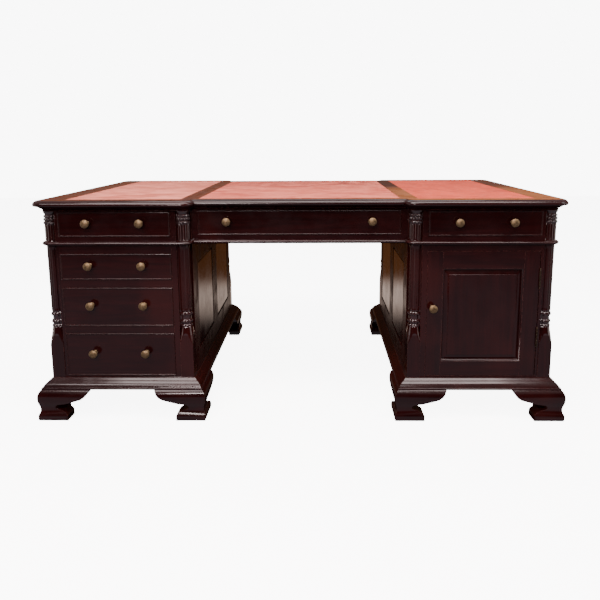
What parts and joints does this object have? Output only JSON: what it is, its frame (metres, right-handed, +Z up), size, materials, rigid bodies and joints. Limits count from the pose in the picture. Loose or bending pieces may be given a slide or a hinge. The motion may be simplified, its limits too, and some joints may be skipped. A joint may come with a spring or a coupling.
{
  "type": "writing desk",
  "caption": "Breakfront pedestal writing desk with leather writing panels, frieze drawers, a drawer pedestal, a cupboard pedestal, fluted corner columns and ogee bracket feet.",
  "frame": {"origin": "on the floor, under the middle of the desk's bounding box", "axes": "+X along the desk to the cupboard pedestal, -Y out of the drawer fronts, +Z up"},
  "size_m": [1.85, 0.95, 0.78],
  "materials": {
    "mahogany": "dark red-brown mahogany, polished to a high gloss, paler rubbed edges",
    "drawer_lining": "plain waxed hardwood inside the carcass and drawers",
    "writing_leather": "red hide with a soft, worn, mottled surface",
    "antique_brass": "aged brass with a dull brown patina"
  },
  "bodies": {
    "carcass": {"bed_moulding": "mahogany", "cupboard_boards": "drawer_lining", "frame_hinge_leaves": "antique_brass", "frieze_back_boards": "mahogany", "frieze_columns": "mahogany", "frieze_drawer_runners": "drawer_lining", "frieze_front_frame": "mahogany", "frieze_partitions": "drawer_lining", "frieze_side_boards": "mahogany", "hinge_pins": "antique_brass", "leather_centre": "writing_leather", "leather_left": "writing_leather", "leather_right": "writing_leather", "left_back": "mahogany", "left_back_inner_foot": "mahogany", "left_back_outer_foot": "mahogany", "left_bottom_board": "drawer_lining", "left_corner_posts": "mahogany", "left_drawer_runners": "drawer_lining", "left_front_frame": "mahogany", "left_front_inner_foot": "mahogany", "left_front_outer_foot": "mahogany", "left_kneehole_side": "mahogany", "left_outer_side": "mahogany", "left_plinth": "mahogany", "right_back": "mahogany", "right_back_inner_foot": "mahogany", "right_back_outer_foot": "mahogany", "right_bottom_board": "drawer_lining", "right_corner_posts": "mahogany", "right_front_frame": "mahogany", "right_front_inner_foot": "mahogany", "right_front_outer_foot": "mahogany", "right_kneehole_side": "mahogany", "right_outer_side": "mahogany", "right_plinth": "mahogany", "top_board": "mahogany", "waist_moulding": "mahogany"},
    "left_frieze_drawer": {"left_frieze_drawer_front": "mahogany", "left_frieze_drawer_box": "drawer_lining", "left_frieze_drawer_knobs": "antique_brass"},
    "centre_drawer": {"centre_drawer_front": "mahogany", "centre_drawer_box": "drawer_lining", "centre_drawer_knobs": "antique_brass"},
    "right_frieze_drawer": {"right_frieze_drawer_front": "mahogany", "right_frieze_drawer_box": "drawer_lining", "right_frieze_drawer_knobs": "antique_brass"},
    "upper_drawer": {"upper_drawer_front": "mahogany", "upper_drawer_box": "drawer_lining", "upper_drawer_knobs": "antique_brass"},
    "middle_drawer": {"middle_drawer_front": "mahogany", "middle_drawer_box": "drawer_lining", "middle_drawer_knobs": "antique_brass"},
    "bottom_drawer": {"bottom_drawer_front": "mahogany", "bottom_drawer_box": "drawer_lining", "bottom_drawer_knobs": "antique_brass"},
    "door": {"door_frame": "mahogany", "door_panel": "mahogany", "door_knob": "antique_brass", "door_hinge_leaves": "antique_brass"}
  },
  "joints": [
    {"name": "left_frieze_drawer_slide", "type": "slide", "parent": "carcass", "child": "left_frieze_drawer", "axis": [0, -1, 0], "range_m": [0, 0.38]},
    {"name": "centre_drawer_slide", "type": "slide", "parent": "carcass", "child": "centre_drawer", "axis": [0, -1, 0], "range_m": [0, 0.38]},
    {"name": "right_frieze_drawer_slide", "type": "slide", "parent": "carcass", "child": "right_frieze_drawer", "axis": [0, -1, 0], "range_m": [0, 0.38]},
    {"name": "upper_drawer_slide", "type": "slide", "parent": "carcass", "child": "upper_drawer", "axis": [0, -1, 0], "range_m": [0, 0.38]},
    {"name": "middle_drawer_slide", "type": "slide", "parent": "carcass", "child": "middle_drawer", "axis": [0, -1, 0], "range_m": [0, 0.38]},
    {"name": "bottom_drawer_slide", "type": "slide", "parent": "carcass", "child": "bottom_drawer", "axis": [0, -1, 0], "range_m": [0, 0.38]},
    {"name": "door_hinge", "type": "hinge", "parent": "carcass", "child": "door", "pos_m": [0.828, -0.4336, 0.3755], "axis": [0, 0, 1], "range_deg": [0, 110]}
  ]
}
